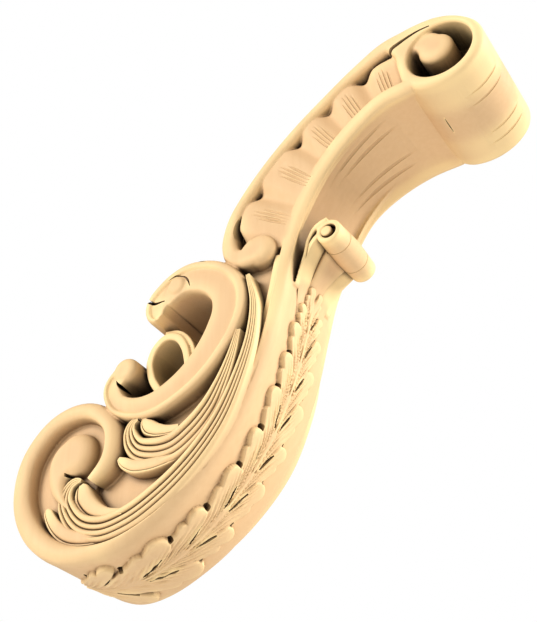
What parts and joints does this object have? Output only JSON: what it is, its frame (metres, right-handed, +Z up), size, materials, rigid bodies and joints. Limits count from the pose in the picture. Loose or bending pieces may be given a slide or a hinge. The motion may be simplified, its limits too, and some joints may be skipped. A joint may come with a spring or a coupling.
{
  "type": "wooden corbel bracket",
  "caption": "S-shaped carved wooden corbel: acanthus leaf up the front, scrolls and leaves on both sides, volute against the wall, roll at the top to carry a shelf or beam.",
  "frame": {"origin": "on the flat at the back of the lower volute, where the bracket meets the wall, in the middle of its width", "axes": "+X straight out from the wall, +Z up towards the flat on the top roll, +Y across the bracket's width"},
  "size_m": [0.3877, 0.095, 0.3575],
  "materials": {
    "wood": "pale close-grained hardwood, carved and sanded smooth, unvarnished"
  },
  "bodies": {
    "root": {"corbel_bracket": "wood"}
  },
  "joints": []
}
